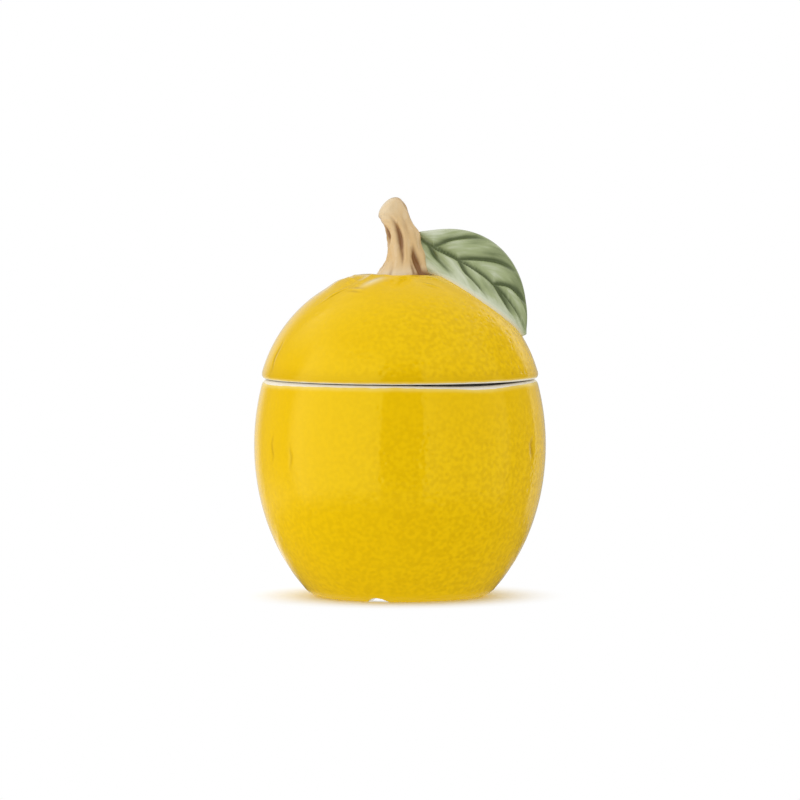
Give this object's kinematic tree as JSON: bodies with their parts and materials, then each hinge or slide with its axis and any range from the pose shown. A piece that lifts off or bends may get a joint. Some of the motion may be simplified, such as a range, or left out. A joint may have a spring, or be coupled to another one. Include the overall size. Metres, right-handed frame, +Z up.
{
  "type": "lidded jar",
  "caption": "Round ceramic jar shaped like a citrus fruit, with a domed lift-off lid whose knob is a fluted stem with a broad leaf lying over the dome.",
  "frame": {"origin": "centre of the foot ring, on the surface that the jar stands on", "axes": "+Z up along the jar's axis; the leaf hangs over the +X side; the picture is taken from -Y"},
  "size_m": [0.12, 0.12, 0.164],
  "materials": {
    "yellow_glaze": "glossy lemon-yellow glaze over a fine peel texture, bare white clay at the rim and foot",
    "bark_glaze": "pale tan glaze, pooled darker brown in the flutes",
    "leaf_glaze": "sage-green translucent glaze, pooled dark in the veins and thin along the edge"
  },
  "bodies": {
    "jar": {"jar_body": "yellow_glaze"},
    "lid": {"lid_dome": "yellow_glaze", "stem_knob": "bark_glaze", "leaf": "leaf_glaze"}
  },
  "joints": [
    {"name": "lid_lift", "type": "slide", "parent": "jar", "child": "lid", "axis": [0, 0, 1], "range_m": [0, 0.12]}
  ]
}
